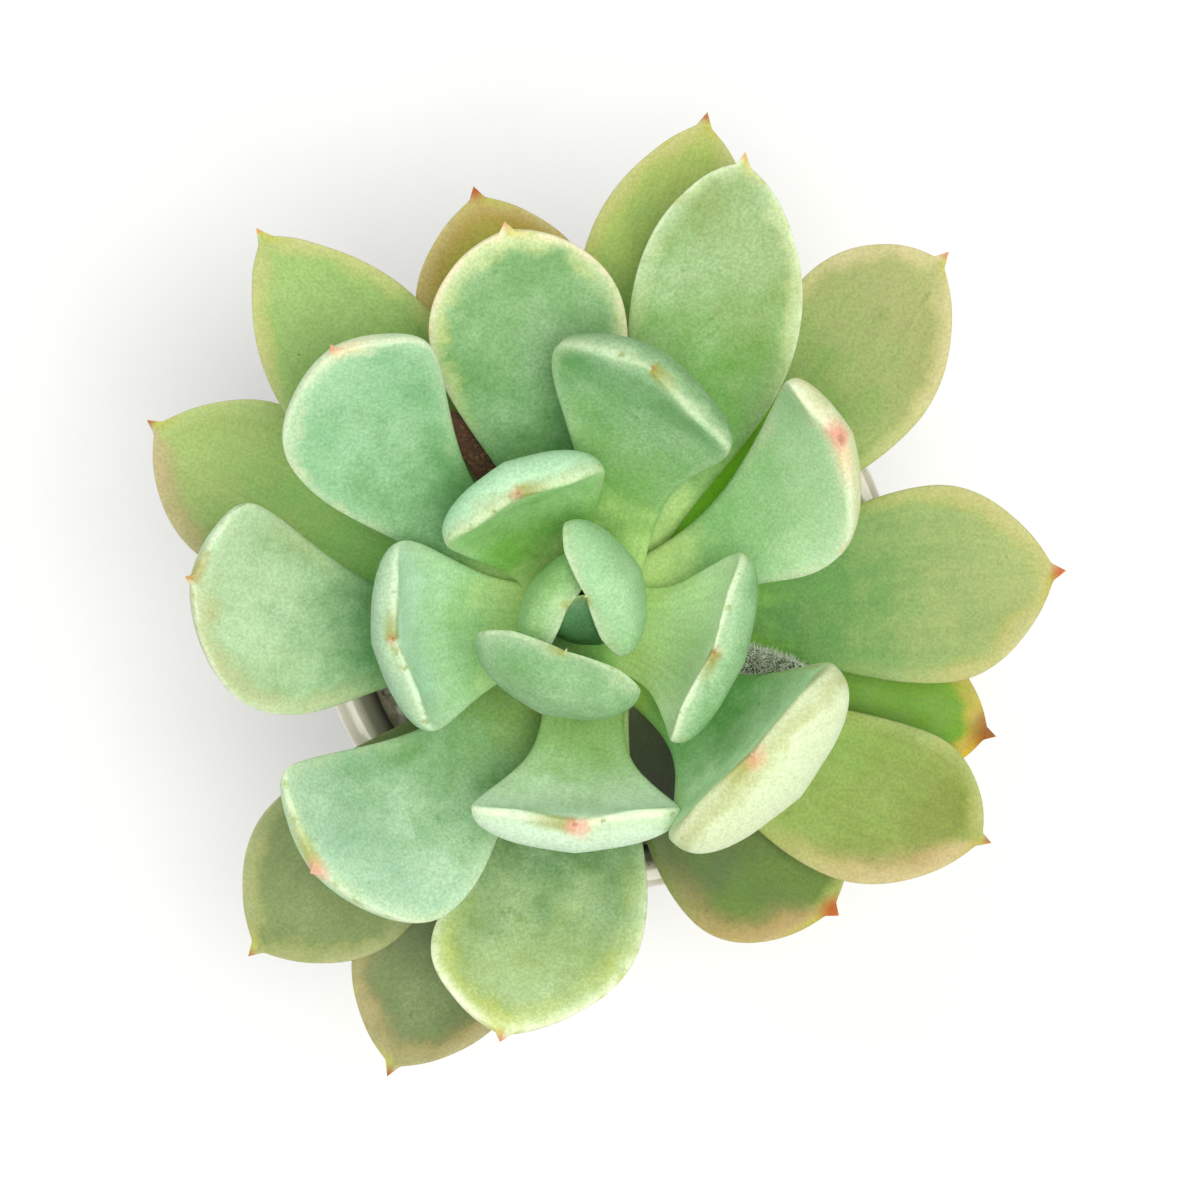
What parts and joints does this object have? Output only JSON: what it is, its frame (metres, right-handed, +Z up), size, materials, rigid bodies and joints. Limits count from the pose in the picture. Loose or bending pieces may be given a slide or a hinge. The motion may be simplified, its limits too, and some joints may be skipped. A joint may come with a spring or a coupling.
{
  "type": "potted succulent",
  "caption": "Blue-green rosette succulent with thick spoon-shaped leaves, standing in a plain white glazed pot under pale gravel.",
  "frame": {"origin": "middle of the whole part's footprint box, on the surface the pot stands on; the pot's axis passes through it", "axes": "+Z up out of the pot, -Z through the pot's foot; +Y towards the longest leaves at the top of the rosette as seen from straight above"},
  "size_m": [0.1304, 0.1366, 0.1247],
  "materials": {
    "heart_leaf": "satin",
    "inner_leaf": "satin",
    "middle_leaf": "satin",
    "outer_leaf": "satin",
    "lower_leaf": "satin",
    "dry_leaf": "matte",
    "dry_stub": "matte",
    "stem": "matte",
    "gravel": "matte",
    "soil": "matte",
    "pot": "gloss"
  },
  "bodies": {
    "root": {"heart_leaf_1": "heart_leaf", "heart_leaf_2": "heart_leaf", "heart_leaf_3": "heart_leaf", "heart_leaf_4": "heart_leaf", "inner_leaf_1": "inner_leaf", "inner_leaf_2": "inner_leaf", "inner_leaf_3": "inner_leaf", "inner_leaf_4": "inner_leaf", "inner_leaf_5": "inner_leaf", "middle_leaf_1": "middle_leaf", "middle_leaf_2": "middle_leaf", "middle_leaf_3": "middle_leaf", "middle_leaf_4": "middle_leaf", "middle_leaf_5": "middle_leaf", "middle_leaf_6": "middle_leaf", "middle_leaf_7": "middle_leaf", "middle_leaf_8": "middle_leaf", "outer_leaf_1": "outer_leaf", "outer_leaf_2": "outer_leaf", "outer_leaf_3": "outer_leaf", "outer_leaf_4": "outer_leaf", "outer_leaf_5": "outer_leaf", "outer_leaf_6": "outer_leaf", "outer_leaf_7": "outer_leaf", "outer_leaf_8": "outer_leaf", "outer_leaf_9": "outer_leaf", "outer_leaf_10": "outer_leaf", "outer_leaf_11": "outer_leaf", "lower_leaf_1": "lower_leaf", "lower_leaf_2": "lower_leaf", "lower_leaf_3": "lower_leaf", "lower_leaf_4": "lower_leaf", "dry_leaf": "dry_leaf", "dry_stub": "dry_stub", "stem": "stem", "gravel": "gravel", "soil": "soil", "pot": "pot"}
  },
  "joints": []
}
